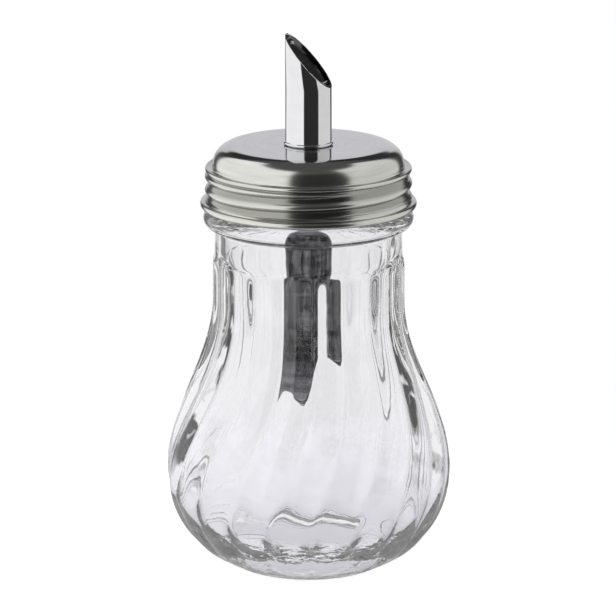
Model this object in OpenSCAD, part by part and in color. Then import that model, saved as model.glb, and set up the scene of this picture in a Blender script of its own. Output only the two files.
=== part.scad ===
/* [Jar] */
// Widest diameter of the jar, over the ribs
belly_d = 80; // [74:1:90]
// Height of the widest place
belly_z = 26; // [22:1:30]
// Diameter of the straight neck, over the ribs
throat_d = 53.6; // [53:0.2:54.6]
// Height at which the neck becomes straight
throat_z = 76; // [68:1:80]
// Height of the whole jar, up to its lip
jar_h = 111.2; // [108:0.2:124]
// Diameter of the plain foot
foot_d = 45.4; // [40:0.2:48]
// Height of the plain foot
foot_h = 1; // [0.6:0.1:1.6]
// Thickness of the glass under the ribs
glass_wall = 2.4; // [2:0.1:3.2]
// Thickness of the heavy base, from the table to the floor of the jar
base_thickness = 6; // [5:0.5:9]
// Depth of the hollow under the base
dish_depth = 2.2; // [1:0.1:3]
// Diameter of the hollow under the base
dish_d = 35; // [28:1:38]

/* [Ribs] */
// Number of ribs round the jar
rib_count = 20; // [16:1:24]
// Height of a rib above the valleys beside it
rib_h = 1; // [0.6:0.1:1.4]
// Angle that the ribs swirl through on the way down
swirl = 20; // [0:1:36]
// Height at which the ribs end, under the smooth neck
rib_top = 87.5; // [84:0.5:89]
// Angle of one valley, seen from above, from +X
valley_at = 273; // [0:1:360]

/* [Neck finish] */
// Diameter of the smooth neck
neck_d = 52; // [51:0.2:52.4]
// Bore of the mouth
mouth_d = 46; // [44:0.5:46.5]
// Diameter of the glass collar that the cap comes down to
collar_d = 58.4; // [57.6:0.2:60]
// Height of the glass collar
collar_h = 5; // [4.4:0.1:6]
// Diameter of the finish inside the cap
finish_d = 54; // [53.6:0.2:54.4]
// Height of the finish, from the glass collar to the lip
finish_h = 10; // [9.6:0.1:10.4]

/* [Thread] */
// Rise of the thread in one turn
pitch = 3.8; // [3.4:0.1:4.1]
// How far the thread stands out
thread_h = 0.8; // [0.7:0.05:0.9]
// Width of the rolled ridge at its foot
ridge_w = 2.6; // [2.4:0.1:2.8]
// Clearance between the glass thread and the rolled thread
thread_gap = 0.35; // [0.3:0.05:0.45]

/* [Cap] */
// Thickness of the steel sheet
sheet = 0.5; // [0.4:0.05:0.6]
// Clearance between the finish and the skirt
skirt_gap = 0.4; // [0.35:0.05:0.5]
// Diameter of the dome, above the skirt
dome_d = 53; // [52:0.2:53.6]
// Height of the dome above the shoulder ledge
dome_h = 6.3; // [5.8:0.1:9]
// Rounding at the edge of the top
shoulder_r = 5.5; // [4:0.1:5.6]
// Height of the skirt, from the ledge to the bottom of the bead
skirt_h = 10.6; // [10.4:0.1:10.8]
// Thickness of the curled bead at the bottom of the skirt
bead_t = 1.9; // [1.6:0.1:2]
// Diameter over the curled bead
bead_d = 60; // [59.8:0.2:61]
// Height of the part of the skirt that flares out over the bead
flare_h = 1.9; // [1.7:0.1:2.1]
// Thickness of the sealing ring
seal_t = 1; // [0.8:0.1:1.6]

/* [Pour tube] */
// Outer diameter of the tube
tube_d = 12.8; // [12:0.1:14]
// Wall of the tube
tube_wall = 0.6; // [0.5:0.05:0.8]
// Height of the tip of the mouth above the top of the cap
tube_above = 30.5; // [28:0.5:38]
// Depth of the long side of the tube below the top of the cap
tube_below = 75; // [66:1:80]
// Slope of the cut at the mouth
mouth_slope = 48.4; // [44:0.1:52]
// Slope of the cut at the lower end
foot_slope = 49; // [40:1:52]
// Angle of the low side of the mouth, seen from above, from +X
mouth_at = -15; // [-90:1:90]
// Thickness of the bead on the tube where it meets the cap
stop_bead = 0.9; // [0.7:0.1:1.2]
// Diameter of the retaining ring under the cap
retainer_d = 19; // [17:0.5:24]
// Thickness of the retaining ring
retainer_t = 1.2; // [1:0.1:2]

/* [Flap] */
// Thickness of the flap
flap_t = 0.5; // [0.4:0.05:0.6]
// Gap between the flap and the bore
flap_gap = 0.25; // [0.2:0.05:0.35]
// Depth of the hinge pin under the mouth, square to it
pin_depth = 1.1; // [1:0.05:1.3]
// Distance of the pin from the bore at the low side
pin_inset = 1.5; // [1.4:0.05:1.7]
// Diameter of the hinge pin
pin_d = 0.8; // [0.7:0.05:0.9]
// Length of the curled knuckle
knuckle_w = 4; // [3:0.1:4.2]
// Width of the lip at the tip end of the flap
lip_w = 4; // [3:0.1:5]
// Width of the flap at its hinge
tongue_w = 4.4; // [3.6:0.1:4.6]

/* [Hidden] */
$fn = 96;

// Small clearances that the pieces share
fit = 0.05;
seat = 0.05;
eps = 0.01;

// Jar
belly_r = belly_d / 2;
throat_r = throat_d / 2;
neck_r = neck_d / 2;
mouth_r = mouth_d / 2;
finish_r = finish_d / 2;
foot_r = foot_d / 2;
collar_top = jar_h - finish_h;
inner_belly_r = belly_r - rib_h - glass_wall;
// The lower half of the belly is part of an ellipse round these radii
ellipse_r = 17;
floor_r = 14;
// Step between the moulded body and the smooth neck
mould_step = 0.3;
foot_bevel = 0.4;
rib_fade = 3.5;
swirl_low = 10;
swirl_high = 64;
sides_per_rib = 6;
// Height at which the ribs have come out to their full height
rib_full_z = 12;
// Angles up the lower half of the belly at which its rings lie
ring_first = 16;
ring_step = 9.25;

// Cap, stacked up from the lip of the jar
skirt_in = finish_r + skirt_gap;
skirt_out = skirt_in + sheet;
ledge_under = jar_h + seal_t + 2 * seat;
ledge_top = ledge_under + sheet;
plate_top = ledge_top + dome_h;
skirt_bottom = ledge_under - skirt_h;
dome_r = dome_d / 2;
bead_r = bead_t / 2;
bead_x = bead_d / 2 - bead_r;
flare_clear = 0.15;
flare_in = skirt_in + thread_h + flare_clear;
flare_bend = 1;
flare_top = skirt_bottom + bead_r + flare_h;
// Ring along the edge of the ledge
ring_r = 0.65;
ring_rise = 0.2;
ring_x = skirt_out + 0.05;
ring_z = ledge_top - ring_r + ring_rise;

// The thread runs on one helix from the flare up to the ring, and sinks away under it
thread_start_z = skirt_bottom + flare_h;
thread_end_z = ring_z - ring_r;
thread_sink = 0.8;
thread_start_at = 265.5;
thread_turn = 360 * (thread_end_z - thread_start_z) / pitch;
thread_fade = 40;
glass_start = 76;
glass_turn = 360;
glass_step = 7.5;
// Columns and rows of the rolled skirt
skirt_sides = 48;
skirt_rows = 20;
// Play of the sealing ring inside the skirt, and its step back from the mouth
seal_play = 0.3;
seal_inset = 0.2;

// Tube
tube_r = tube_d / 2;
bore_r = tube_r - tube_wall;
tip_z = plate_top + tube_above;
mouth_z = tip_z - tube_r * tan(mouth_slope);
tube_foot_z = plate_top - tube_below;

// Flap, in the plane of the mouth: u runs down the slope, n out of the mouth
pin_reach = bore_r - pin_inset;
pin_u = (pin_reach + pin_depth * sin(mouth_slope)) / cos(mouth_slope);
pin_r = pin_d / 2;
pin_fit = 0.02;
knuckle_wall = 0.4;
knuckle_r = pin_r + fit + knuckle_wall;
flap_r = bore_r - flap_gap;
half_chord = sqrt(tube_r * tube_r - pin_reach * pin_reach);
lip_drop = 0.3;
// Where the flap narrows to its hinge: distances before the pin, each with the
// width that is left over on either side
narrow_from = 1.3;
narrow_from_side = 1.2;
narrow_to = 0.7;
narrow_to_side = 0.2;

// Outline of the jar over the crests: an ellipse below, half a cosine wave above
function swell(z, low_r, low_z, wide_r, high_r) =
    z < belly_z
        ? low_r + (wide_r - low_r) * sqrt(max(0, 1 - pow((belly_z - z) / (belly_z - low_z), 2)))
    : z < throat_z
        ? high_r + (wide_r - high_r) * (1 + cos(180 * (z - belly_z) / (throat_z - belly_z))) / 2
    : high_r;
function crest_r(z) = swell(z, ellipse_r, 0, belly_r, throat_r);
function inner_r(z) = swell(z, floor_r, base_thickness, inner_belly_r, mouth_r);

// A smooth step from 0 to 1 between two heights
function ramp(z, from, to) =
    let (t = min(1, max(0, (z - from) / (to - from)))) t * t * (3 - 2 * t);

// Rounded end of the ribs: a quarter circle from full height to nothing
function rib_end(z) =
    z < rib_top - rib_fade ? 1
    : sqrt(max(0, 1 - pow((z - rib_top + rib_fade) / rib_fade, 2)));
function rib_depth(z) = rib_h * ramp(z, foot_h, rib_full_z) * rib_end(z);
function outer_r(z) =
    z < rib_top - rib_fade ? crest_r(z)
    : neck_r + mould_step + (crest_r(z) - neck_r - mould_step) * rib_end(z);
function twist_at(z) = -swirl * (1 - ramp(z, swirl_low, swirl_high));

// Heights of the rings of the ribbed body, closer where the outline turns
low_rings = [for (a = [ring_first : ring_step : 90]) belly_z * (1 - cos(a))];
high_rings = [for (i = [1 : 14]) belly_z + (throat_z - belly_z) * i / 14];
end_rings = [for (a = [0 : 18 : 90]) rib_top - rib_fade + rib_fade * sin(a)];
body_rings = concat(
    [for (z = low_rings) if (z > foot_h + 0.1) z], high_rings, end_rings);

// One ring of the body, whose corners follow the ribs
function ring_points(z) =
    let (sides = rib_count * sides_per_rib, r = outer_r(z), d = rib_depth(z))
    [for (i = [0 : sides - 1])
        let (a = 360 * i / sides,
             lift = abs(sin(rib_count * a / 2)),
             rr = r - d * (1 - lift),
             at = valley_at + twist_at(z) + a)
        [rr * cos(at), rr * sin(at), z]];
function round_points(r, z) =
    let (sides = rib_count * sides_per_rib)
    [for (i = [0 : sides - 1])
        let (at = valley_at + twist_at(z) + 360 * i / sides)
        [r * cos(at), r * sin(at), z]];

// Skin a stack of closed rings that all have the same number of points
module skin(rings) {
    n = len(rings[0]);
    m = len(rings);
    sides = [for (i = [0 : m - 2], j = [0 : n - 1])
        let (a = i * n + j, b = i * n + (j + 1) % n)
        each [[a, b + n, b], [a, a + n, b + n]]];
    bottom = [for (j = [0 : n - 1]) j];
    top = [for (j = [n - 1 : -1 : 0]) (m - 1) * n + j];
    polyhedron(points = [for (r = rings) each r], faces = concat([bottom], sides, [top]));
}

module ribbed_body() {
    foot = [round_points(foot_r - foot_bevel, 0), round_points(foot_r, foot_bevel),
            round_points(foot_r, foot_h)];
    skin(concat(foot, [for (z = body_rings) ring_points(z)]));
}

// Smooth neck, glass collar and finish, as one turned outline
module neck_outline() {
    round_r = collar_h / 2;
    lip_r = 0.8;
    overlap = 2;
    translate([0, rib_top - overlap]) square([neck_r, collar_top - rib_top]);
    translate([0, collar_top - round_r]) square([collar_d / 2, round_r]);
    translate([0, collar_top - collar_h]) square([collar_d / 2 - round_r, collar_h]);
    translate([collar_d / 2 - round_r, collar_top - round_r]) circle(r = round_r);
    translate([0, collar_top - eps]) square([finish_r, finish_h - lip_r + eps]);
    translate([0, jar_h - lip_r - eps]) square([finish_r - lip_r, lip_r + eps]);
    translate([finish_r - lip_r, jar_h - lip_r]) circle(r = lip_r);
}

// Inside of the jar: heavy floor, belly and mouth
module inner_outline() {
    low = [for (a = [0 : 10 : 90]) belly_z - (belly_z - base_thickness) * cos(a)];
    high = [for (i = [1 : 16]) belly_z + (throat_z - belly_z) * i / 16];
    walls = [for (z = concat(low, high)) [inner_r(z), z]];
    polygon(concat([[0, base_thickness]], walls, [[mouth_r, jar_h + 1], [0, jar_h + 1]]));
}

// The glass thread: a ridge on a helix, sunk into the finish and tapered at its ends
module glass_thread() {
    steps = ceil(glass_turn / glass_step);
    rise = skirt_in + thread_h - thread_gap - finish_r;
    width = ridge_w - 2 * thread_gap;
    sunk = 0.5;
    taper = 30;
    shape = [[-0.5, 0], [-0.27, 0.72], [0, 1], [0.27, 0.72], [0.5, 0]];
    rings = [for (i = [0 : steps])
        let (a = glass_turn * i / steps,
             h = rise * max(0.04, sin(90 * min(1, a / taper, (glass_turn - a) / taper))),
             at = thread_start_at + glass_start + a,
             z = thread_start_z + pitch * (glass_start + a) / 360,
             profile = concat(
                 [[finish_r - sunk, -width / 2]],
                 [for (p = shape) [finish_r + h * p[1], width * p[0]]],
                 [[finish_r - sunk, width / 2]]))
        [for (p = profile) [p[0] * cos(at), p[0] * sin(at), z + p[1]]]];
    skin(rings);
}

module glass_jar() {
    dish_ball = (dish_d * dish_d / 4 + dish_depth * dish_depth) / (2 * dish_depth);
    color([0.80, 0.86, 0.88, 0.55])
    difference() {
        union() {
            ribbed_body();
            rotate_extrude() neck_outline();
            glass_thread();
        }
        rotate_extrude() inner_outline();
        translate([0, 0, dish_depth - dish_ball]) sphere(r = dish_ball);
    }
}

// Flat ring between the lip of the jar and the ledge of the cap
module sealing_ring() {
    color([0.93, 0.93, 0.90])
    translate([0, 0, jar_h + seat])
    difference() {
        cylinder(r = skirt_in - seal_play, h = seal_t);
        translate([0, 0, -1]) cylinder(r = mouth_r + seal_inset, h = seal_t + 2);
    }
}

// How far the rolled thread stands out at an angle and a height: each turn of
// the helix that passes this angle adds a rounded ridge
function ridge_at(at, z) =
    max([for (lap = [0 : 2])
        let (a = at + 360 * lap,
             off = abs(z - thread_start_z - pitch * a / 360),
             fade = min(1, max(0, (thread_turn - a) / thread_fade)))
        off < ridge_w / 2 ? thread_h * fade * (1 + cos(360 * off / ridge_w)) / 2 : 0])
    * (1 - ramp(z, thread_end_z - thread_sink, thread_end_z));

// Inside radius of the skirt: flared over the bead, with the thread rolled in above
function skirt_r(at, z) =
    skirt_in + max(ridge_at(at, z),
                   (flare_in - skirt_in) * (1 - ramp(z, flare_top - flare_bend, flare_top)));

// The skirt is one sheet: a closed loop of points, up its outside and down its
// inside, swept once round
module rolled_skirt() {
    low = skirt_bottom + bead_r;
    high = ledge_under + sheet / 2;
    zs = [for (k = [0 : skirt_rows]) low + (high - low) * k / skirt_rows];
    loops = [for (i = [0 : skirt_sides - 1])
        let (a = 360 * i / skirt_sides)
        concat(
            [for (k = [0 : skirt_rows]) ring_point(skirt_r(a, zs[k]) + sheet, a, zs[k])],
            [for (k = [skirt_rows : -1 : 0]) ring_point(skirt_r(a, zs[k]), a, zs[k])])];
    n = len(loops[0]);
    faces = [for (i = [0 : skirt_sides - 1], j = [0 : n - 1])
        let (next = (i + 1) % skirt_sides, a = i * n + j, b = i * n + (j + 1) % n,
             c = next * n + j, d = next * n + (j + 1) % n)
        each [[a, b, d], [a, d, c]]];
    polyhedron(points = [for (loop = loops) each loop], faces = faces);
}
function ring_point(r, a, z) =
    [r * cos(thread_start_at + a), r * sin(thread_start_at + a), z];

// Dome, ledge and ring of the cap, as one turned sheet
module dome_section() {
    top_r = dome_r - shoulder_r;
    side_h = plate_top - shoulder_r - ledge_under;
    difference() {
        union() {
            translate([dome_r - sheet, ledge_under]) square([ring_x - dome_r + sheet, sheet]);
            translate([0, ledge_under]) square([dome_r, side_h]);
            translate([0, ledge_under]) square([top_r, plate_top - ledge_under]);
            translate([top_r, plate_top - shoulder_r]) circle(r = shoulder_r);
            translate([ring_x, ring_z]) circle(r = ring_r);
        }
        square([skirt_in + sheet / 2, ledge_under]);
        square([dome_r - sheet, plate_top - shoulder_r]);
        square([top_r, plate_top - sheet]);
        square([tube_r + fit, plate_top + 1]);
        translate([top_r, plate_top - shoulder_r]) circle(r = shoulder_r - sheet);
    }
}

module screw_cap() {
    color([0.75, 0.75, 0.77]) {
        rolled_skirt();
        rotate_extrude() dome_section();
        rotate_extrude() translate([bead_x, skirt_bottom + bead_r]) circle(r = bead_r);
    }
}

// Turns its children into the plane of the mouth
module at_mouth() {
    rotate([0, 0, mouth_at]) translate([0, 0, mouth_z]) rotate([0, mouth_slope, 0]) children();
}

// Everything above a plane that slopes across the tube
module mouth_cut(above) {
    reach = 4 * tube_d;
    at_mouth() translate([-reach / 2, -reach / 2, above]) cube(reach);
}

module pin_rod(radius, length) {
    at_mouth() translate([pin_u, 0, -pin_depth]) rotate([90, 0, 0])
        cylinder(r = radius, h = length, center = true, $fn = 48);
}

module pour_tube() {
    reach = 4 * tube_d;
    color([0.70, 0.70, 0.72])
    difference() {
        union() {
            translate([0, 0, tube_foot_z]) cylinder(r = tube_r, h = tip_z - tube_foot_z);
            rotate_extrude() translate([tube_r, plate_top + seat + stop_bead / 2])
                circle(r = stop_bead / 2, $fn = 32);
        }
        translate([0, 0, tube_foot_z - 1]) cylinder(r = bore_r, h = tip_z - tube_foot_z + 2);
        mouth_cut(0);
        rotate([0, 0, mouth_at]) translate([-tube_r, 0, tube_foot_z]) rotate([0, -foot_slope, 0])
            translate([-reach / 2, -reach / 2, -reach]) cube(reach);
        pin_rod(pin_r + pin_fit, tube_d);
    }
}

// Ring pressed onto the tube under the top of the cap
module tube_retainer() {
    color([0.62, 0.62, 0.64])
    translate([0, 0, plate_top - sheet - seat - retainer_t])
    difference() {
        cylinder(d = retainer_d, h = retainer_t);
        translate([0, 0, -1]) cylinder(r = tube_r + fit, h = retainer_t + 2);
    }
}

module hinge_pin() {
    color([0.55, 0.55, 0.57]) pin_rod(pin_r, 2 * half_chord);
}

// Outline of the flap from above, narrowed towards the hinge so that it swings
// out past the rim
module flap_plan() {
    far = -2 * flap_r;
    half = tongue_w / 2;
    edge = [[far, far], [0, far], [0, -flap_r],
            [pin_reach - narrow_from, -half - narrow_from_side],
            [pin_reach - narrow_to, -half - narrow_to_side], [pin_reach, -half]];
    back = [for (i = [len(edge) - 1 : -1 : 0]) [edge[i][0], -edge[i][1]]];
    intersection() {
        circle(r = flap_r);
        polygon(concat(edge, back));
    }
}

// A plate that slopes with the mouth, and a lip that stands up along the bore at the tip
module flap_sheet() {
    reach = 4 * tube_d;
    at_mouth() translate([-reach / 2, -reach / 2, -pin_depth - flap_t / 2])
        cube([reach, reach, flap_t]);
    difference() {
        at_mouth() translate([-reach / 2, -lip_w / 2, -pin_depth])
            cube([reach / 2, lip_w, pin_depth - lip_drop]);
        translate([0, 0, mouth_z - reach / 2]) cylinder(r = flap_r - flap_t, h = reach);
    }
}

module flap() {
    reach = 4 * tube_d;
    color([0.66, 0.66, 0.68])
    difference() {
        union() {
            intersection() {
                rotate([0, 0, mouth_at]) translate([0, 0, mouth_z - reach / 2])
                    linear_extrude(height = reach) flap_plan();
                flap_sheet();
            }
            pin_rod(knuckle_r, knuckle_w);
        }
        pin_rod(pin_r + fit, tube_d);
    }
}

glass_jar();
sealing_ring();
screw_cap();
pour_tube();
tube_retainer();
hinge_pin();
flap();
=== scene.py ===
import math
import bmesh
import bpy
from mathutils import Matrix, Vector


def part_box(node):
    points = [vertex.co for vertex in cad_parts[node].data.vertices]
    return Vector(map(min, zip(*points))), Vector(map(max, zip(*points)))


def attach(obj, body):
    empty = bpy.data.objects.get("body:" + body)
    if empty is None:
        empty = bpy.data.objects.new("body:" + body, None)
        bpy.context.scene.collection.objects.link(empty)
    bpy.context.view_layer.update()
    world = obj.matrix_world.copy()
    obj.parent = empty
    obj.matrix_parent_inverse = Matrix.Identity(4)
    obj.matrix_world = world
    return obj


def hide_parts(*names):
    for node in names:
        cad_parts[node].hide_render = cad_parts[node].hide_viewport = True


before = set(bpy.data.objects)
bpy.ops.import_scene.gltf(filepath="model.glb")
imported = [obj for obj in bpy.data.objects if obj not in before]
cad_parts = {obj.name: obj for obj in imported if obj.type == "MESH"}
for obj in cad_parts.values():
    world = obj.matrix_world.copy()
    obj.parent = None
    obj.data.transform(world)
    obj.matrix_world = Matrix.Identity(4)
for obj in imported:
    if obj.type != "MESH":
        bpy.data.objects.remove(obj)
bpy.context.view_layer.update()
print("frame loaded:", len(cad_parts), "nodes")

mm = 0.001
weldGap = 0.005 * mm
leastWeight = 0.001


# Helpers for shaping meshes

def clearSelection():
    bpy.ops.object.select_all(action="DESELECT")


def editMode():
    bpy.ops.object.mode_set(mode="EDIT")


def objectMode():
    bpy.ops.object.mode_set(mode="OBJECT")


def boxOf(node):
    # lowest and highest corner of a CAD node, in mm
    low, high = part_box(node)
    return low / mm, high / mm


def drawOutline(name, points):
    # a chain of edges in the XZ plane, extruded point by point; points are (radius, height) in mm
    clearSelection()
    bpy.ops.mesh.primitive_plane_add(size=mm, location=(points[0][0] * mm, 0, points[0][1] * mm))
    piece = bpy.context.object
    piece.name = name
    piece.data.name = name
    bpy.ops.object.transform_apply(location=True, rotation=True, scale=True)
    editMode()
    bpy.ops.mesh.select_all(action="SELECT")
    bpy.ops.mesh.merge(type="CENTER")
    for here, there in zip(points, points[1:]):
        step = ((there[0] - here[0]) * mm, 0, (there[1] - here[1]) * mm)
        bpy.ops.mesh.extrude_region_move(TRANSFORM_OT_translate={"value": step})
    return piece


def spinRound(sides):
    # turns the outline in edit mode into a closed surface about the Z axis
    bpy.ops.mesh.select_all(action="SELECT")
    bpy.ops.mesh.spin(steps=sides, angle=2 * math.pi, center=(0, 0, 0), axis=(0, 0, 1))
    bpy.ops.mesh.select_all(action="SELECT")
    bpy.ops.mesh.remove_doubles(threshold=weldGap)
    bpy.ops.mesh.normals_make_consistent(inside=False)


def rowsOf(piece):
    # vertices in edit mode, grouped by radius and height in hundredths of a mm
    rows = {}
    for v in bmesh.from_edit_mesh(piece.data).verts:
        key = (round(math.hypot(v.co.x, v.co.y) / mm * 100), round(v.co.z / mm * 100))
        rows.setdefault(key, []).append(v.index)
    return rows


def selectRow(piece, row):
    bpy.ops.mesh.select_all(action="DESELECT")
    mesh = bmesh.from_edit_mesh(piece.data)
    mesh.verts.ensure_lookup_table()
    for index in row:
        mesh.verts[index].select = True
    mesh.select_flush_mode()
    bmesh.update_edit_mesh(piece.data)


def weightGroup(piece, name, weight):
    # a vertex group whose weights come from each vertex's place in mm
    group = piece.vertex_groups.new(name=name)
    for v in piece.data.vertices:
        w = weight(v.co.x / mm, v.co.y / mm, v.co.z / mm)
        if w > leastWeight:
            group.add([v.index], w, "REPLACE")
    return name


def pushOut(piece, group, height):
    # moves the group's vertices along their normals, by height in mm at full weight
    push = piece.modifiers.new("push", "DISPLACE")
    push.mid_level = 0
    push.strength = height * mm
    push.vertex_group = group
    bpy.ops.object.modifier_apply(modifier=push.name)
    piece.vertex_groups.remove(piece.vertex_groups[group])


def thicken(piece, thickness):
    # gives the surface a wall on its inner side
    wall = piece.modifiers.new("wall", "SOLIDIFY")
    wall.thickness = thickness * mm
    wall.offset = -1    # even offset stays off: it throws points out where the thread leaves the flare
    bpy.ops.object.modifier_apply(modifier=wall.name)


def refine(piece, levels=1):
    smooth = piece.modifiers.new("smooth", "SUBSURF")
    smooth.levels = levels
    smooth.render_levels = levels
    bpy.ops.object.modifier_apply(modifier=smooth.name)


def bevelEdges(piece, width, angle=35):
    edge = piece.modifiers.new("edges", "BEVEL")
    edge.width = width * mm
    edge.segments = 2
    edge.limit_method = "ANGLE"
    edge.angle_limit = math.radians(angle)
    bpy.ops.object.modifier_apply(modifier=edge.name)


def place(piece, body, node, material):
    piece.data.materials.clear()
    piece.data.materials.append(material)
    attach(piece, body)
    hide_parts(node)


def arc(cx, cz, radius, start, stop, steps):
    # points on an arc, angles in degrees from the outward direction
    angles = [math.radians(start + (stop - start) * i / steps) for i in range(steps + 1)]
    return [(cx + radius * math.cos(a), cz + radius * math.sin(a)) for a in angles]


def ramp(value, low, high):
    t = min(1, max(0, (value - low) / (high - low)))
    return t * t * (3 - 2 * t)


# Helpers for materials

def link(tree, source, target):
    tree.links.new(source, target)


def mathNode(tree, operation, *values):
    # a Math node fed by numbers or sockets; returns its output
    node = tree.nodes.new("ShaderNodeMath")
    node.operation = operation
    for socket, value in zip(node.inputs, values):
        if isinstance(value, (int, float)):
            socket.default_value = value
        else:
            link(tree, value, socket)
    return node.outputs[0]


def mapRange(tree, value, fromLow, fromHigh, toLow, toHigh, smooth=False):
    node = tree.nodes.new("ShaderNodeMapRange")
    if smooth:
        node.interpolation_type = "SMOOTHSTEP"
    labels = ("From Min", "From Max", "To Min", "To Max")
    for label, number in zip(labels, (fromLow, fromHigh, toLow, toHigh)):
        node.inputs[label].default_value = number
    link(tree, value, node.inputs["Value"])
    return node.outputs[0]


def mixColour(tree, factor, first, second):
    # mixes two colours, each given as three numbers or as a socket
    node = tree.nodes.new("ShaderNodeMix")
    node.data_type = "RGBA"
    link(tree, factor, node.inputs["Factor"])
    for socket, value in ((node.inputs[6], first), (node.inputs[7], second)):
        if isinstance(value, tuple):
            socket.default_value = (*value, 1)
        else:
            link(tree, value, socket)
    return node.outputs[2]


def noise(tree, vector, scale, detail):
    node = tree.nodes.new("ShaderNodeTexNoise")
    node.inputs["Detail"].default_value = detail
    if isinstance(scale, (int, float)):
        node.inputs["Scale"].default_value = scale
    else:
        link(tree, scale, node.inputs["Scale"])
    link(tree, vector, node.inputs["Vector"])
    return node.outputs[0]


def objectPlace(tree):
    return tree.nodes.new("ShaderNodeTexCoord").outputs["Object"]


def placeParts(tree):
    # x, y, z and the distance from the Z axis, as sockets
    split = tree.nodes.new("ShaderNodeSeparateXYZ")
    link(tree, objectPlace(tree), split.inputs[0])
    x, y, z = split.outputs
    square = mathNode(tree, "MULTIPLY_ADD", x, x, mathNode(tree, "MULTIPLY", y, y))
    return x, y, z, mathNode(tree, "SQRT", square)


def bumpFrom(tree, height, strength, distance, shader):
    bump = tree.nodes.new("ShaderNodeBump")
    bump.inputs["Strength"].default_value = strength
    bump.inputs["Distance"].default_value = distance
    link(tree, height, bump.inputs["Height"])
    link(tree, bump.outputs[0], shader.inputs["Normal"])


def newGroup(name, inputs, outputs):
    group = bpy.data.node_groups.new(name, "ShaderNodeTree")
    for label, value in inputs:
        socket = group.interface.new_socket(label, in_out="INPUT", socket_type="NodeSocketFloat")
        socket.default_value = value
    for label in outputs:
        group.interface.new_socket(label, in_out="OUTPUT", socket_type="NodeSocketFloat")
    return group, group.nodes.new("NodeGroupInput"), group.nodes.new("NodeGroupOutput")


# Grain that all steel finishes share

steelGrain = {
    "wrap": 0.002, "lineDetail": 3, "smudgeDetail": 4,
    "smudgeRange": (0.3, 0.75), "bumpDepth": 0.02,
}


def spunGrainGroup():
    # fine lines round the Z axis, as a polishing wheel leaves them, and soft smudges
    group, start, end = newGroup("spunGrain", [("Lines", 900), ("Smudge Size", 120)], ["Grain", "Smudge"])
    x, y, z, radius = placeParts(group)
    join = group.nodes.new("ShaderNodeCombineXYZ")
    link(group, radius, join.inputs["X"])
    turn = mathNode(group, "ARCTAN2", y, x)
    link(group, mathNode(group, "MULTIPLY", turn, steelGrain["wrap"]), join.inputs["Y"])
    link(group, z, join.inputs["Z"])
    lines = noise(group, join.outputs[0], start.outputs["Lines"], steelGrain["lineDetail"])
    link(group, lines, end.inputs["Grain"])
    smudge = noise(group, objectPlace(group), start.outputs["Smudge Size"], steelGrain["smudgeDetail"])
    link(group, smudge, end.inputs["Smudge"])
    return group


spunGrain = spunGrainGroup()


def newMaterial(name):
    material = bpy.data.materials.new(name)
    material.use_nodes = True
    return material, material.node_tree, material.node_tree.nodes["Principled BSDF"]


def steelMaterial(name, look, dress=None):
    material, tree, shader = newMaterial(name)
    shader.inputs["Metallic"].default_value = 1.0
    grain = tree.nodes.new("ShaderNodeGroup")
    grain.node_tree = spunGrain
    grain.inputs["Lines"].default_value = look["lines"]
    grain.inputs["Smudge Size"].default_value = look["smudgeSize"]
    tone = mixColour(tree, grain.outputs["Grain"], look["dark"], look["light"])
    low, high = look["roughness"]
    rough = mapRange(tree, grain.outputs["Smudge"], *steelGrain["smudgeRange"], low, high)
    link(tree, tone, shader.inputs["Base Color"])
    link(tree, rough, shader.inputs["Roughness"])
    bumpFrom(tree, grain.outputs["Grain"], look["bump"], steelGrain["bumpDepth"] * mm, shader)
    if dress:
        dress(tree, shader, grain.outputs["Grain"], tone, rough)
    return material


# Jar of pressed glass

jarTop = boxOf("glass_jar")[1]
jar = {
    "bellyR": jarTop.x, "bellyZ": 26, "throatR": 26.8, "throatZ": 76,
    "ellipseR": 17, "footR": 22.7, "footBevel": 0.4, "footH": 1,
    "ribs": 20, "ribH": 1, "ribFull": 12, "ribTop": 87.5, "ribFade": 3.5, "valleyAt": 273,
    "swirl": 20, "swirlLow": 10, "swirlHigh": 64, "mouldStep": 0.3,
    "neckR": 26, "collarR": 29.2, "collarH": 5, "finishR": 27, "finishH": 10,
    "lipZ": jarTop.z, "lipRound": 0.8, "mouthR": 23, "innerBellyR": 36.6,
    "floorR": 14, "floorZ": 6, "dishR": 17.5, "dishDepth": 2.2,
    "throatRows": (79, 82), "boreRows": (107, 102, 96, 90, 84, 79), "floorRows": (11, 7, 3, 0),
    "sides": 160,
    "tint": (0.985, 0.985, 0.995), "refraction": 1.5,
    "ripple": 90, "rippleStrength": 0.35, "rippleDepth": 0.4,
    "squiggle": 420, "squiggleShare": 0.9, "squiggleTo": 16, "squiggleFull": 8,
    "lostLight": 0.2, "lostAfter": 3.5, "lostGrain": 500, "lostRange": (0.4, 0.6),
}
thread = {
    "startAt": 265.5, "startZ": 103.6, "pitch": 3.8, "gap": 0.35,
    "ridgeW": 2.6, "ridgeH": 0.8, "sink": 0.8, "fade": 40, "startFade": 25,
    "glassStart": 76, "glassTurn": 360, "glassTaper": 30,
}


def swell(z, lowR, lowZ, wideR, highR):
    if z < jar["bellyZ"]:
        part = (jar["bellyZ"] - z) / (jar["bellyZ"] - lowZ)
        return lowR + (wideR - lowR) * math.sqrt(max(0, 1 - part * part))
    if z < jar["throatZ"]:
        wave = math.cos(math.pi * (z - jar["bellyZ"]) / (jar["throatZ"] - jar["bellyZ"]))
        return highR + (wideR - highR) * (1 + wave) / 2
    return highR


def crestR(z):
    return swell(z, jar["ellipseR"], 0, jar["bellyR"], jar["throatR"])


def innerR(z):
    return swell(z, jar["floorR"], jar["floorZ"], jar["innerBellyR"], jar["mouthR"])


def twistAt(z):
    return -jar["swirl"] * (1 - ramp(z, jar["swirlLow"], jar["swirlHigh"]))


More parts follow.
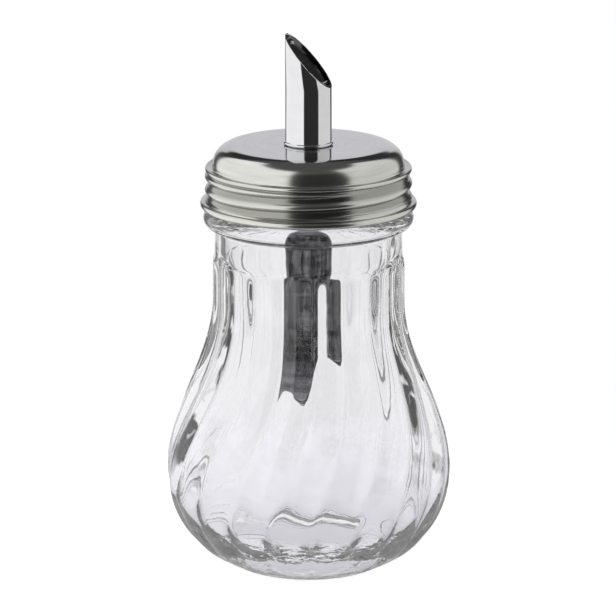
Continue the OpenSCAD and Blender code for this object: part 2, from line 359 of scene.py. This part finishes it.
def ribEnd(z):
    # the ribs end in a quarter circle, from full height to nothing
    crown = jar["ribTop"] - jar["ribFade"]
    if z < crown:
        return 1
    return math.sqrt(max(0, 1 - ((z - crown) / jar["ribFade"]) ** 2))


def footPoints():
    # the hollow under the base and the plain foot round it
    ball = (jar["dishR"] ** 2 + jar["dishDepth"] ** 2) / (2 * jar["dishDepth"])
    shares = (0, 0.17, 0.34, 0.51, 0.69, 0.83, 0.94)
    radii = [jar["dishR"] * share for share in shares]
    points = [(r, math.sqrt(ball ** 2 - r ** 2) - ball + jar["dishDepth"]) for r in radii]
    points += [(jar["dishR"], 0.03), (jar["dishR"] + 0.6, 0), (jar["footR"] - 1.2, 0)]
    points += [(jar["footR"] - jar["footBevel"], 0.02), (jar["footR"], jar["footBevel"])]
    return points + [(jar["footR"], jar["footH"])]


def bellyHeights():
    low = [jar["bellyZ"] * (1 - math.cos(math.radians(20 + 70 * i / 9))) for i in range(10)]
    rise = jar["throatZ"] - jar["bellyZ"]
    high = [jar["bellyZ"] + rise * i / 20 for i in range(1, 21)]
    return low, high


def neckPoints():
    # ends of the ribs, smooth neck, collar, finish and lip
    crown = jar["ribTop"] - jar["ribFade"]
    step = jar["throatR"] - jar["neckR"] - jar["mouldStep"]
    points = []
    for i in range(5):
        down = math.radians(22.5 * i)
        height = crown + jar["ribFade"] * math.sin(down)
        points.append((jar["throatR"] - step * (1 - math.cos(down)), height))
    collarTop = jar["lipZ"] - jar["finishH"]
    collarLow = collarTop - jar["collarH"]
    roundR = jar["collarH"] / 2
    points += [(jar["neckR"] + 0.05, jar["ribTop"] + 0.5), (jar["neckR"], 90), (jar["neckR"], 93)]
    points += [(jar["neckR"], collarLow - 0.5), (jar["neckR"] + 0.15, collarLow - 0.1)]
    points += arc(jar["collarR"] - roundR, collarLow + roundR, roundR, -90, 90, 8)
    lipStart = jar["lipZ"] - jar["lipRound"]
    rise = lipStart - collarTop - 0.15
    points += [(jar["finishR"], collarTop + 0.15 + rise * i / 20) for i in range(21)]
    points += arc(jar["finishR"] - jar["lipRound"], lipStart, jar["lipRound"], 30, 90, 2)
    points += [(jar["mouthR"] + 1.4, jar["lipZ"])]
    return points + arc(jar["mouthR"] + 0.6, jar["lipZ"] - 0.6, 0.6, 90, 180, 3)


def jarOutline():
    low, high = bellyHeights()
    points = footPoints()
    points += [(crestR(z), z) for z in low + high + list(jar["throatRows"])]
    points += neckPoints()
    points += [(jar["mouthR"], z) for z in jar["boreRows"]]
    points += [(innerR(z), z) for z in reversed(high)]
    drop = jar["bellyZ"] - jar["floorZ"]
    down = [90 - 9 * i for i in range(11)]
    points += [(innerR(z), z) for z in [jar["bellyZ"] - drop * math.cos(math.radians(a)) for a in down]]
    return points + [(r, jar["floorZ"]) for r in jar["floorRows"]]


def ribWeight(x, y, z):
    # how far a place on the outside lies down between two crests, from 0 to 1
    radius = math.hypot(x, y)
    if z < jar["footH"] or z > jar["ribTop"] or radius < innerR(max(z, jar["floorZ"])) + 1:
        return 0
    turn = math.degrees(math.atan2(y, x)) - jar["valleyAt"] - twistAt(z)
    crest = abs(math.sin(math.radians(jar["ribs"] * turn / 2)))
    return (1 - crest) * ramp(z, jar["footH"], jar["ribFull"]) * ribEnd(z)


def turnFromStart(x, y):
    return (math.degrees(math.atan2(y, x)) - thread["startAt"]) % 360


def threadWeight(x, y, z):
    # the ridge on the finish that the rolled thread of the cap runs over
    if z < jar["lipZ"] - jar["finishH"] + 0.3 or math.hypot(x, y) < jar["finishR"] - 0.1:
        return 0
    best = 0
    for lap in (0, 360):
        a = turnFromStart(x, y) + lap
        along = a - thread["glassStart"]
        ends = min(1, max(0, min(along, thread["glassTurn"] - along) / thread["glassTaper"]))
        off = abs(z - thread["startZ"] - thread["pitch"] * a / 360) / (thread["ridgeW"] / 2 - thread["gap"])
        if off < 1:
            best = max(best, ends * (1 + math.cos(math.pi * off)) / 2)
    return best


def buildJar(material):
    piece = drawOutline("ribbedJar", jarOutline())
    spinRound(jar["sides"])
    for (radius, height), row in rowsOf(piece).items():    # the columns follow the swirl of the ribs
        turn = twistAt(height / 100)
        if abs(turn) > 0.01 and radius > 10:
            selectRow(piece, row)
            bpy.ops.transform.rotate(value=math.radians(-turn), orient_axis="Z", center_override=(0, 0, 0))
    objectMode()
    pushOut(piece, weightGroup(piece, "ribs", ribWeight), -jar["ribH"])
    rise = cap["skirtR"] - cap["sheet"] + thread["ridgeH"] - thread["gap"] - jar["finishR"]
    pushOut(piece, weightGroup(piece, "thread", threadWeight), rise)
    refine(piece)
    bpy.ops.object.shade_smooth()
    place(piece, "jar", "glass_jar", material)


def glassMaterial():
    # clear pressed glass, with the slow ripple that the mould leaves and finer waves in the thick base
    material, tree, shader = newMaterial("pressedGlass")
    shader.inputs["Base Color"].default_value = (*jar["tint"], 1)
    shader.inputs["Metallic"].default_value = 0.0
    shader.inputs["Roughness"].default_value = 0.0
    shader.inputs["IOR"].default_value = jar["refraction"]
    shader.inputs["Transmission Weight"].default_value = 1.0
    z = placeParts(tree)[2]
    full, none = jar["squiggleFull"] * mm, jar["squiggleTo"] * mm
    low = mapRange(tree, z, full, none, jar["squiggleShare"], 0, smooth=True)
    slow = noise(tree, objectPlace(tree), jar["ripple"], 2)
    fine = noise(tree, objectPlace(tree), jar["squiggle"], 2)
    waves = mathNode(tree, "MULTIPLY_ADD", fine, low, slow)
    bumpFrom(tree, waves, jar["rippleStrength"], jar["rippleDepth"] * mm, shader)
    # painted light: the glass glows a little, unevenly, for paths that have bounced often, or the thick
    # base comes out nearly black
    path = tree.nodes.new("ShaderNodeLightPath")
    deep = mathNode(tree, "GREATER_THAN", path.outputs["Glossy Depth"], jar["lostAfter"])
    grain = noise(tree, objectPlace(tree), jar["lostGrain"], 3)
    uneven = mapRange(tree, grain, *jar["lostRange"], 0, 1)
    link(tree, mathNode(tree, "MULTIPLY", deep, uneven), shader.inputs["Emission Color"])
    shader.inputs["Emission Strength"].default_value = jar["lostLight"]
    return material


# Screw cap of steel sheet

capFloor, capTop = boxOf("screw_cap")
cap = {
    "holeR": 6.45, "sheet": 0.5, "topZ": capTop.z, "domeR": 26.5, "domeH": 6.3, "shoulderR": 5.5,
    "ringR": 0.65, "ringRise": 0.2, "skirtR": 27.9, "flareH": 1.9, "flareBend": 1, "flareOut": 0.95,
    "beadOut": capTop.x, "beadR": 0.95, "bottomZ": capFloor.z,
    "crestFullness": 0.62, "plateRows": (9, 12.5, 16, 19), "skirtRows": 34,
    "sides": 120, "smoothAngle": 50,
    "finish": {"lines": 900, "smudgeSize": 90, "dark": (0.5, 0.5, 0.51), "light": (0.66, 0.66, 0.67),
               "roughness": (0.09, 0.15), "bump": 0.1},
    "skirtFinishAndShade": {"high": 0.1, "low": 2.5, "dark": (0.46, 0.46, 0.43), "light": (0.66, 0.66, 0.62),
                    # groove: painted shade for the hollows of the rolled thread
                    "roughness": 0.09, "grooveShade": (0.2, 0.2, 0.18), "grooveShadeShare": 0.75},
}
cap["ledgeZ"] = cap["topZ"] - cap["domeH"]
cap["ringZ"] = cap["ledgeZ"] - cap["ringR"] + cap["ringRise"]
cap["beadX"] = cap["beadOut"] - cap["beadR"]
cap["beadZ"] = cap["bottomZ"] + cap["beadR"]
cap["flareTop"] = cap["beadZ"] + cap["flareH"]
cap["flareLow"] = cap["flareTop"] - cap["flareBend"]


def capOutline():
    top = cap["domeR"] - cap["shoulderR"]
    points = [(r, cap["topZ"]) for r in (cap["holeR"], cap["holeR"] + 0.6, *cap["plateRows"])]
    points += arc(top, cap["topZ"] - cap["shoulderR"], cap["shoulderR"], 90, 0, 9)
    points += [(cap["domeR"], cap["ledgeZ"] + 0.25), (cap["domeR"] + 0.2, cap["ledgeZ"])]
    points += [(cap["domeR"] + 0.6, cap["ledgeZ"])]
    points += arc(cap["skirtR"] + 0.05, cap["ringZ"], cap["ringR"], 130, -75, 9)
    start = cap["ringZ"] - cap["ringR"] - 0.15
    rows = cap["skirtRows"]
    points += [(cap["skirtR"], start + (cap["flareTop"] - start) * i / rows) for i in range(rows + 1)]
    for share in (0.25, 0.5, 0.75):
        height = cap["flareTop"] - cap["flareBend"] * share
        points.append((cap["skirtR"] + cap["flareOut"] * ramp(share, 0, 1), height))
    return points + arc(cap["beadX"], cap["beadZ"], cap["beadR"], 100, -150, 16)


def ridgeWeight(x, y, z):
    # the rolled thread: a rounded ridge on a helix, which sinks away under the ring
    endZ = cap["ringZ"] - cap["ringR"]
    if not cap["flareLow"] < z < endZ:
        return 0
    whole = 360 * (endZ - thread["startZ"]) / thread["pitch"]
    best = 0
    for lap in (0, 360, 720):
        a = turnFromStart(x, y) + lap
        off = abs(z - thread["startZ"] - thread["pitch"] * a / 360) / (thread["ridgeW"] / 2)
        fade = min(1, a / thread["startFade"], max(0, (whole - a) / thread["fade"]))
        if off < 1:
            best = max(best, fade * ((1 + math.cos(math.pi * off)) / 2) ** cap["crestFullness"])
    best = best * (1 - ramp(z, endZ - thread["sink"], endZ))
    flare = (1 - ramp(z, cap["flareLow"], cap["flareTop"])) * cap["flareOut"] / thread["ridgeH"]
    return max(0, best - flare)


def buildCap(material):
    piece = drawOutline("screwCap", capOutline())
    spinRound(cap["sides"])
    objectMode()
    pushOut(piece, weightGroup(piece, "ridge", ridgeWeight), thread["ridgeH"])
    thicken(piece, cap["sheet"])
    refine(piece)
    bpy.ops.object.shade_smooth_by_angle(angle=math.radians(cap["smoothAngle"]))
    place(piece, "cap", "screw_cap", material)


def dressCap(tree, shader, grain, tone, rough):
    # the plate keeps its polish; below it the cap is duller and a little warmer, with painted shade
    # darkening the grooves
    skirt = cap["skirtFinishAndShade"]
    z, radius = placeParts(tree)[2:]
    bottom, top = (cap["topZ"] - skirt["low"]) * mm, (cap["topZ"] - skirt["high"]) * mm
    down = mapRange(tree, z, bottom, top, 1, 0, smooth=True)
    # painted shade: the skirt is coloured darker towards the bottom of the thread's grooves
    deep = mapRange(tree, radius, cap["skirtR"] * mm, (cap["skirtR"] + thread["ridgeH"]) * mm, 1, 0)
    rolled = mathNode(tree, "LESS_THAN", z, cap["ringZ"] * mm)
    grooveShade = mathNode(tree, "MULTIPLY", deep, mathNode(tree, "MULTIPLY", rolled, skirt["grooveShadeShare"]))
    warmWithGrooveShade = mixColour(tree, grooveShade, mixColour(tree, grain, skirt["dark"], skirt["light"]), skirt["grooveShade"])
    link(tree, mixColour(tree, down, tone, warmWithGrooveShade), shader.inputs["Base Color"])
    link(tree, mathNode(tree, "MULTIPLY_ADD", down, skirt["roughness"], rough), shader.inputs["Roughness"])


buildJar(glassMaterial())
print("jar made")
buildCap(steelMaterial("satinSteel", cap["finish"], dressCap))
print("cap made")

# Pour tube

tubeFloor = boxOf("pour_tube")[0]
tube = {
    "radius": 6.4, "wall": 0.6, "tipZ": 149.6, "mouthSlope": 48.4, "mouthAt": -15,
    "footZ": tubeFloor.z, "footSlope": 49, "beadR": 0.45, "seat": 0.05,
    "sides": 96, "rows": 12, "highLoop": 135, "lowLoops": (100, 75), "edge": 0.06, "smoothAngle": 30,
    "finish": {"lines": 500, "smudgeSize": 150, "dark": (0.6, 0.6, 0.61), "light": (0.68, 0.68, 0.69),
               "roughness": (0.02, 0.05), "bump": 0.03},
    # the bore's near-black colour is painted shade
    "bore": 6.1, "boreShade": (0.1, 0.1, 0.1),
    # below: under the cap the steel is rougher, and its darker colour is painted shade
    "below": {"height": 112, "blend": 1, "dark": (0.1, 0.1, 0.1), "light": (0.25, 0.25, 0.26),
              "gritRange": (0.38, 0.62), "roughness": 0.16},
}
tube["mouthZ"] = tube["tipZ"] - tube["radius"] * math.tan(math.radians(tube["mouthSlope"]))
tube["beadZ"] = cap["topZ"] + tube["seat"] + tube["beadR"]


def cutPlane(point, normal):
    # cuts away what lies on the normal's side and bridges the two open rims
    bpy.ops.mesh.select_all(action="SELECT")
    bpy.ops.mesh.bisect(plane_co=point, plane_no=normal, clear_outer=True, use_fill=True)


def slopeNormal(slope, upward):
    turn = math.radians(tube["mouthAt"])
    lean = math.radians(slope)
    return (math.sin(lean) * math.cos(turn), math.sin(lean) * math.sin(turn), upward * math.cos(lean))


def buildTube(material):
    # the bore goes up and the outside comes down, so that the wall is one closed outline
    outer = tube["radius"]
    inner = outer - tube["wall"]
    rows = tube["rows"]
    rise = [tube["footZ"] + (tube["tipZ"] - tube["footZ"]) * i / rows for i in range(rows + 1)]
    points = [(inner, z) for z in rise] + [(outer, tube["tipZ"]), (outer, tube["highLoop"])]
    points += arc(outer, tube["beadZ"], tube["beadR"], 88, -88, 8)
    points += [(outer, z) for z in (*tube["lowLoops"], tube["footZ"])] + [points[0]]
    piece = drawOutline("pourTube", points)
    spinRound(tube["sides"])
    cutPlane((0, 0, tube["mouthZ"] * mm), slopeNormal(tube["mouthSlope"], 1))
    turn = math.radians(tube["mouthAt"])
    low = (-outer * mm * math.cos(turn), -outer * mm * math.sin(turn), tube["footZ"] * mm)
    cutPlane(low, slopeNormal(tube["footSlope"], -1))
    objectMode()
    bevelEdges(piece, tube["edge"])
    bpy.ops.object.shade_smooth_by_angle(angle=math.radians(tube["smoothAngle"]))
    place(piece, "cap", "pour_tube", material)


def dressTube(tree, shader, grain, tone, rough):
    # under the cap the tube is rougher drawn steel, with painted shade darkening its colour, and its bore
    # is painted dark as shade
    below = tube["below"]
    z, radius = placeParts(tree)[2:]
    dullAndShaded = mapRange(tree, z, (below["height"] - below["blend"]) * mm, below["height"] * mm, 1, 0)
    grit = mapRange(tree, grain, *below["gritRange"], 0, 1)
    # painted shade: the tube is coloured darker under the cap, inside the jar
    shadedBelow = mixColour(tree, grit, below["dark"], below["light"])
    # painted shade: inside the bore the tube is coloured near black
    inside = mathNode(tree, "LESS_THAN", radius, tube["bore"] * mm)
    outside = mixColour(tree, dullAndShaded, tone, shadedBelow)
    link(tree, mixColour(tree, inside, outside, tube["boreShade"]), shader.inputs["Base Color"])
    more = mathNode(tree, "MAXIMUM", dullAndShaded, inside)
    roughness = mathNode(tree, "MULTIPLY_ADD", more, below["roughness"], rough)
    link(tree, roughness, shader.inputs["Roughness"])


buildTube(steelMaterial("mirrorSteel", tube["finish"], dressTube))
print("tube made")

# Retaining ring, hinge pin, flap and seal, whose shapes the frame already has

innerFinish = {"lines": 700, "smudgeSize": 200, "dark": (0.42, 0.42, 0.43), "light": (0.6, 0.6, 0.61),
               "roughness": (0.15, 0.3), "bump": 0.1}
flapFinish = {"lines": 400, "smudgeSize": 220, "dark": (0.26, 0.26, 0.265), "light": (0.34, 0.34, 0.345),
              "roughness": (0.1, 0.18), "bump": 0.03}
sealFinish = {"grain": 1500, "dark": (0.80, 0.80, 0.76), "light": (0.88, 0.88, 0.85),
              "roughness": 0.6, "subsurface": 0.1}


def sealMaterial(look):
    material, tree, shader = newMaterial("softSeal")
    grain = noise(tree, objectPlace(tree), look["grain"], 2)
    link(tree, mixColour(tree, grain, look["dark"], look["light"]), shader.inputs["Base Color"])
    shader.inputs["Roughness"].default_value = look["roughness"]
    shader.inputs["Subsurface Weight"].default_value = look["subsurface"]
    return material


def finishNode(name, material):
    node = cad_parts[name]
    for part in node.material_slots:
        part.material = material


innerSteel = steelMaterial("drawnSteel", innerFinish)
finishNode("tube_retainer", innerSteel)
finishNode("hinge_pin", innerSteel)
finishNode("flap", steelMaterial("polishedFlap", flapFinish))
finishNode("sealing_ring", sealMaterial(sealFinish))
print("inner pieces finished")

# Studio: floor, light and camera. Azimuth 0 is the camera's side and grows to the right

studio = {
    "floorR": 0.2, "floorSides": 96, "floorDrop": 0.3, "floorTone": 0.84, "floorClear": (0.06, 0.17),
    "floorSeen": 0.8, "floorThrough": 0.44, "floorMirrored": 0.05, "floorTint": (0.93, 0.92, 1.0),
    "panels": [    # azimuth from and to, elevation from and to, strength
        (-142, -23, -60, 60, 1.25),
        (50, 137, -60, 60, 0.9),
        (-200, 200, 45, 120, 0.07),
    ],
    "backPanel": (159, 201, -60, 22, 0.76), "backTint": (0.96, 0.95, 1.0),
    "gloom": 0.035, "softness": 5,
    "surround": 0.88, "shade": 0.03, "shadeSize": 6, "shadeFrom": 0.485, "shadeTo": 0.575,
    "clearBehind": (148, 212, -90, 90),
    "cameraFar": 1.0, "cameraHigh": 15, "aimZ": 0.069, "focal": 209.5, "shiftX": -0.0008, "shiftY": 0.019,
    "sensor": 36, "clip": (0.01, 10),
}


def floorMaterial():
    # white where the camera sees it, with the object's own shadow, and clear towards its rim
    material = bpy.data.materials.new("paleFloor")
    material.use_nodes = True
    tree = material.node_tree
    tree.nodes.clear()
    reach = tree.nodes.new("ShaderNodeVectorMath")
    reach.operation = "LENGTH"
    link(tree, objectPlace(tree), reach.inputs[0])
    low, high = studio["floorClear"]
    fade = mapRange(tree, reach.outputs["Value"], low, high, 0, 1, smooth=True)
    matt = tree.nodes.new("ShaderNodeBsdfDiffuse")
    matt.inputs["Color"].default_value = (*(studio["floorTone"],) * 3, 1)
    path = tree.nodes.new("ShaderNodeLightPath")
    direct = mathNode(tree, "MULTIPLY", path.outputs["Is Camera Ray"], studio["floorSeen"])
    glossy = path.outputs["Is Glossy Ray"]
    passed = path.outputs["Is Transmission Ray"]
    mirrored = mathNode(tree, "MULTIPLY_ADD", glossy, studio["floorMirrored"], direct)
    total = mathNode(tree, "MULTIPLY_ADD", passed, studio["floorThrough"], mirrored)
    glow = tree.nodes.new("ShaderNodeEmission")
    link(tree, total, glow.inputs["Strength"])
    link(tree, mixColour(tree, passed, (1.0, 1.0, 1.0), studio["floorTint"]), glow.inputs["Color"])
    both = tree.nodes.new("ShaderNodeAddShader")
    link(tree, matt.outputs[0], both.inputs[0])
    link(tree, glow.outputs[0], both.inputs[1])
    blend = tree.nodes.new("ShaderNodeMixShader")
    link(tree, fade, blend.inputs[0])
    link(tree, both.outputs[0], blend.inputs[1])
    link(tree, tree.nodes.new("ShaderNodeBsdfTransparent").outputs[0], blend.inputs[2])
    link(tree, blend.outputs[0], tree.nodes.new("ShaderNodeOutputMaterial").inputs["Surface"])
    return material


def buildFloor():
    clearSelection()
    bpy.ops.mesh.primitive_circle_add(
        vertices=studio["floorSides"], radius=studio["floorR"], fill_type="NGON",
        location=(0, 0, -studio["floorDrop"] * mm))
    floor = bpy.context.object
    floor.name = "studioFloor"
    floor.data.materials.append(floorMaterial())


def panelGroup():
    # a mask that is 1 inside a range of azimuth and elevation, with soft edges
    labels = ["Azimuth", "Elevation", "From", "To", "Low", "High", "Soft"]
    group, start, end = newGroup("lightPanel", [(label, 0) for label in labels], ["Mask"])
    value = start.outputs

    def edge(above, below):
        share = mathNode(group, "DIVIDE", mathNode(group, "SUBTRACT", above, below), value["Soft"])
        return mapRange(group, share, -0.5, 0.5, 0, 1, smooth=True)

    mask = edge(value["Azimuth"], value["From"])
    for above, below in (("To", "Azimuth"), ("Elevation", "Low"), ("High", "Elevation")):
        mask = mathNode(group, "MULTIPLY", mask, edge(value[above], value[below]))
    link(group, mask, end.inputs["Mask"])
    return group


def panelMask(tree, group, azimuth, elevation, panel):
    node = tree.nodes.new("ShaderNodeGroup")
    node.node_tree = group
    link(tree, azimuth, node.inputs["Azimuth"])
    link(tree, elevation, node.inputs["Elevation"])
    for label, number in zip(("From", "To", "Low", "High"), panel):
        node.inputs[label].default_value = number
    node.inputs["Soft"].default_value = studio["softness"]
    return node.outputs[0]


def buildWorld():
    world = bpy.data.worlds.new("studioWorld")
    bpy.context.scene.world = world
    world.use_nodes = True
    tree = world.node_tree
    tree.nodes.clear()
    split = tree.nodes.new("ShaderNodeSeparateXYZ")
    direction = tree.nodes.new("ShaderNodeTexCoord").outputs["Generated"]
    link(tree, direction, split.inputs[0])
    away = mathNode(tree, "MULTIPLY", split.outputs["Y"], -1.0)
    azimuth = mathNode(tree, "DEGREES", mathNode(tree, "ARCTAN2", split.outputs["X"], away))
    left = mathNode(tree, "LESS_THAN", azimuth, 0.0)
    around = mathNode(tree, "MULTIPLY_ADD", left, 360.0, azimuth)    # 0 to 360, for the panel behind
    elevation = mathNode(tree, "DEGREES", mathNode(tree, "ARCSINE", split.outputs["Z"]))

    # what metal reflects and what lights the floor: panels round a dim room, the one behind slightly cool
    group = panelGroup()
    total = studio["gloom"]
    for panel in studio["panels"]:
        mask = panelMask(tree, group, azimuth, elevation, panel)
        total = mathNode(tree, "MULTIPLY_ADD", mask, panel[4], total)
    behind = panelMask(tree, group, around, elevation, studio["backPanel"])
    total = mathNode(tree, "MULTIPLY_ADD", behind, studio["backPanel"][4], total)
    lit = tree.nodes.new("ShaderNodeBackground")
    link(tree, mixColour(tree, behind, (1.0, 1.0, 1.0), studio["backTint"]), lit.inputs["Color"])
    link(tree, total, lit.inputs["Strength"])

    # what is seen through glass: even light behind, and soft light and shade everywhere else
    clear = panelMask(tree, group, around, elevation, studio["clearBehind"])
    patches = noise(tree, direction, studio["shadeSize"], 2)
    low, high = studio["shadeFrom"], studio["shadeTo"]
    varied = mapRange(tree, patches, low, high, studio["shade"], studio["surround"])
    through = mathNode(tree, "MAXIMUM", varied, mathNode(tree, "MULTIPLY", clear, studio["surround"]))
    seenThrough = tree.nodes.new("ShaderNodeBackground")
    seenThrough.inputs["Color"].default_value = (1, 1, 1, 1)
    link(tree, through, seenThrough.inputs["Strength"])

    plain = tree.nodes.new("ShaderNodeBackground")
    plain.inputs["Color"].default_value = (1, 1, 1, 1)
    path = tree.nodes.new("ShaderNodeLightPath")
    pick = tree.nodes.new("ShaderNodeMixShader")
    link(tree, path.outputs["Is Transmission Ray"], pick.inputs[0])
    link(tree, lit.outputs[0], pick.inputs[1])
    link(tree, seenThrough.outputs[0], pick.inputs[2])
    show = tree.nodes.new("ShaderNodeMixShader")
    link(tree, path.outputs["Is Camera Ray"], show.inputs[0])
    link(tree, pick.outputs[0], show.inputs[1])
    link(tree, plain.outputs[0], show.inputs[2])
    link(tree, show.outputs[0], tree.nodes.new("ShaderNodeOutputWorld").inputs["Surface"])


def buildCamera():
    tilt = math.radians(studio["cameraHigh"])
    back = Vector((0, -math.cos(tilt), math.sin(tilt)))
    lens = bpy.data.cameras.new("productCamera")
    camera = bpy.data.objects.new("productCamera", lens)
    bpy.context.scene.collection.objects.link(camera)
    camera.location = Vector((0, 0, studio["aimZ"])) + back * studio["cameraFar"]
    camera.rotation_mode = "QUATERNION"
    camera.rotation_quaternion = (-back).to_track_quat("-Z", "Y")
    lens.sensor_width = studio["sensor"]
    lens.lens = studio["focal"]
    lens.shift_x = studio["shiftX"]
    lens.shift_y = studio["shiftY"]
    lens.clip_start, lens.clip_end = studio["clip"]
    bpy.context.scene.camera = camera


buildFloor()
buildWorld()
buildCamera()
bpy.context.scene.view_settings.view_transform = "Standard"
print("studio ready")
